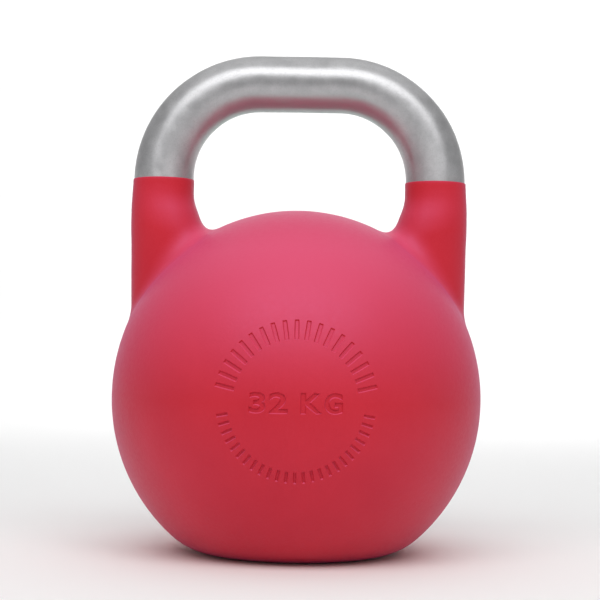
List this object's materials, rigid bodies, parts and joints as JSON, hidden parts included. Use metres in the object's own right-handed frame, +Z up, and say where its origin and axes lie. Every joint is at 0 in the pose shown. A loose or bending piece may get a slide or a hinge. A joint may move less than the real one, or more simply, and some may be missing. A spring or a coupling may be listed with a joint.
{
  "type": "kettlebell",
  "caption": "Competition kettlebell: a hollow powder-coated steel ball with two horns, an inset bare steel handle, a shot core and a sealed base plug with trim discs",
  "frame": {"origin": "The centre of the flat base, on the surface that the kettlebell stands on.", "axes": "+Z points up through the handle, -Y points out of the marked front, and +X runs along the handle to the right post as seen from the front."},
  "size_m": [0.21, 0.21, 0.2838],
  "materials": {
    "powder_coat": "satin powder coat with a fine orange-peel texture, on cast steel",
    "linished_steel": "bare steel, linished by hand",
    "dowel_steel": "ground",
    "shot_and_resin": "steel shot set in dark resin",
    "foam_rubber": "closed-cell, matt",
    "trim_steel": "as cut",
    "zinc_plate": "zinc-plated steel, turned",
    "black_oxide": "black oxide",
    "seal_rubber": "matt"
  },
  "bodies": {
    "root": {"ball_shell": "powder_coat", "handle_bar": "linished_steel", "handle_dowel_left": "dowel_steel", "handle_dowel_right": "dowel_steel", "ballast_core": "shot_and_resin", "packing_pad": "foam_rubber", "trim_disc_1": "trim_steel", "trim_disc_2": "trim_steel", "trim_disc_3": "trim_steel", "trim_washer": "zinc_plate", "trim_screw": "black_oxide", "base_plug": "zinc_plate", "plug_seal": "seal_rubber"}
  },
  "joints": []
}
